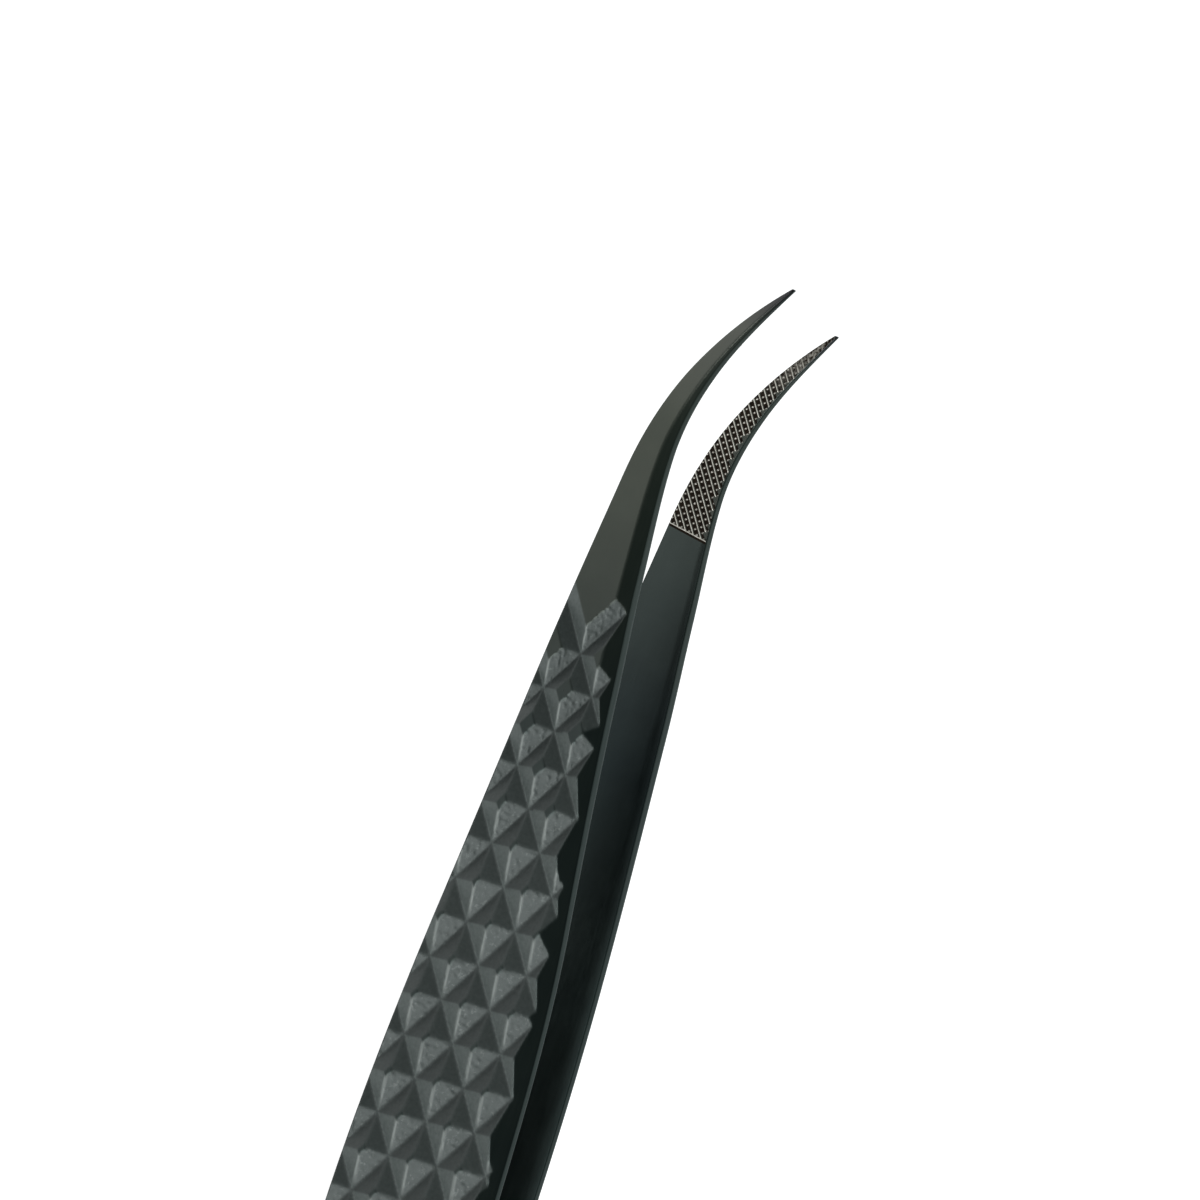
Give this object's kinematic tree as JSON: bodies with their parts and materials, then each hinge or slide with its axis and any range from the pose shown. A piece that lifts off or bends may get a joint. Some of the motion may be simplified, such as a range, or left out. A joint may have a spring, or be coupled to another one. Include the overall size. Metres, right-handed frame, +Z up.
{
  "type": "curved tip tweezers",
  "caption": "Spring tweezers with curved hatched tips, bowed steel arms with a diamond-milled grip and a welded tail.",
  "frame": {"origin": "centre of the bounding box in X and Y, on the surface the tool lies on", "axes": "+X from the tips to the tail, +Y across the opening from the near arm to the far arm, +Z up across the width of the arms, the way the tips curve"},
  "size_m": [0.122, 0.0128, 0.0089],
  "materials": {
    "coated_steel": "satin black-grey vapour coating on stainless steel",
    "hatched_steel": "fine crossed laser hatching, bright silver lines over dark pits",
    "spacer_steel": "coated, seen only as an edge between the arms",
    "weld_steel": "coated weld bead, ground smooth"
  },
  "bodies": {
    "tail": {"near_arm_root": "coated_steel", "far_arm_root": "coated_steel", "tail_spacer": "spacer_steel", "tail_weld": "weld_steel"},
    "near_arm": {"near_arm": "coated_steel", "near_tip_face": "hatched_steel"},
    "far_arm": {"far_arm": "coated_steel", "far_tip_face": "hatched_steel"}
  },
  "joints": [
    {"name": "near_arm_bend", "type": "hinge", "parent": "tail", "child": "near_arm", "pos_m": [0.02705, -0.0013, 0.0045], "axis": [0, 0, -1], "range_deg": [0, 2.98], "stiffness_Nm_per_rad": 1.6},
    {"name": "far_arm_bend", "type": "hinge", "parent": "tail", "child": "far_arm", "pos_m": [0.02705, 0.0013, 0.0045], "axis": [0, 0, 1], "range_deg": [0, 2.98], "stiffness_Nm_per_rad": 1.6}
  ],
  "couplings": [
    {"joint": "far_arm_bend", "follows": "near_arm_bend", "ratio": 1}
  ]
}
